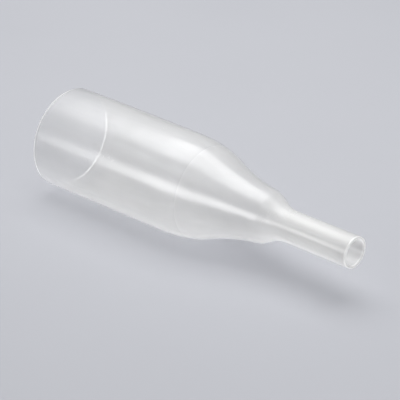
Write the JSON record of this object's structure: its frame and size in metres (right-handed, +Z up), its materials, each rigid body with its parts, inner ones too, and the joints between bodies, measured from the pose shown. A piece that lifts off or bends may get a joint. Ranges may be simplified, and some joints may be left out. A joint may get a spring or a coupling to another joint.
{
  "type": "external urinary catheter",
  "caption": "Thin silicone urinary sheath with an open mouth, a self-adhesive lining, a stepped kink-resistant bulb and a straight outlet tube on a flexing neck, lying on its side.",
  "frame": {"origin": "middle of the length and width, on the surface that the sleeve lies on", "axes": "+X along the sheath from its open mouth to the outlet end, +Z up from the surface it lies on, +Y across"},
  "size_m": [0.116, 0.0328, 0.0323],
  "materials": {
    "sleeve_silicone": "translucent frosted silicone, soft satin",
    "skin_adhesive": "clear tacky film, faintly milky",
    "bulb_silicone": "translucent frosted silicone, satin",
    "tube_silicone": "translucent frosted silicone, thicker, satin"
  },
  "bodies": {
    "sheath": {"sheath_sleeve": "sleeve_silicone", "adhesive_lining": "skin_adhesive", "kink_resistant_bulb": "bulb_silicone", "flex_neck": "bulb_silicone"},
    "outlet": {"outlet_tube": "tube_silicone"}
  },
  "joints": [
    {"name": "neck_flex", "type": "hinge", "parent": "sheath", "child": "outlet", "pos_m": [0.03135, 0, 0.01585], "axis": [0, 0, 1], "range_deg": [-35, 35], "stiffness_Nm_per_rad": 0.01, "deforming": ["flex_neck"]}
  ]
}
